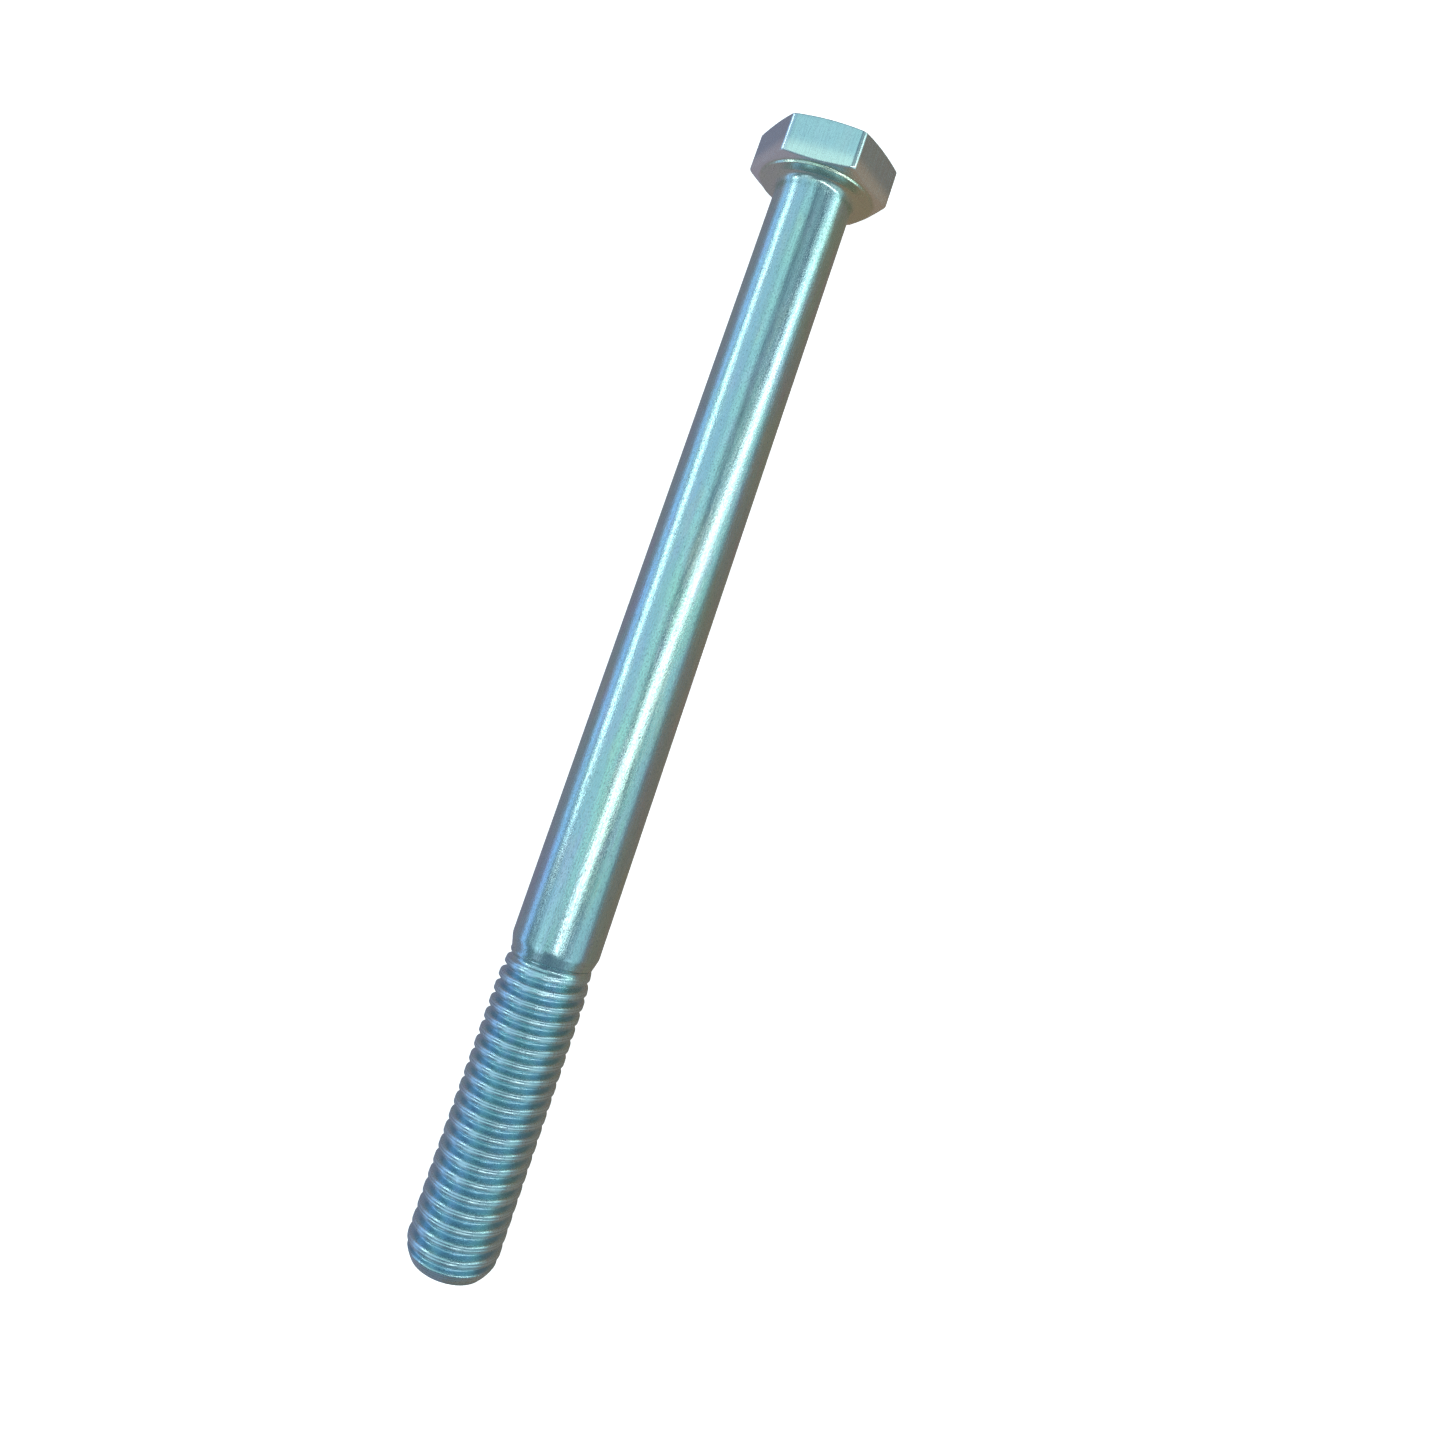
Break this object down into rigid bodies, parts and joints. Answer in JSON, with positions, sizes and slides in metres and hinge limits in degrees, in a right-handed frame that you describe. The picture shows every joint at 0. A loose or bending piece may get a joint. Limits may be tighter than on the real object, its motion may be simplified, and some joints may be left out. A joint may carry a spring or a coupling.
{
  "type": "hex bolt",
  "caption": "M12 x 150 hex head bolt, partly threaded, with washer face, tapered neck and coarse right-hand thread",
  "frame": {"origin": "on the bolt's axis, in the plane of the bearing face under the head", "axes": "+X runs along the shank to the threaded end, +Z is the outward normal of one flat of the head, and +Y points to one corner of the head"},
  "size_m": [0.1575, 0.0214, 0.0188],
  "materials": {
    "zinc_plate": "bright zinc plate with blue passivation"
  },
  "bodies": {
    "root": {"hex_bolt": "zinc_plate"}
  },
  "joints": []
}
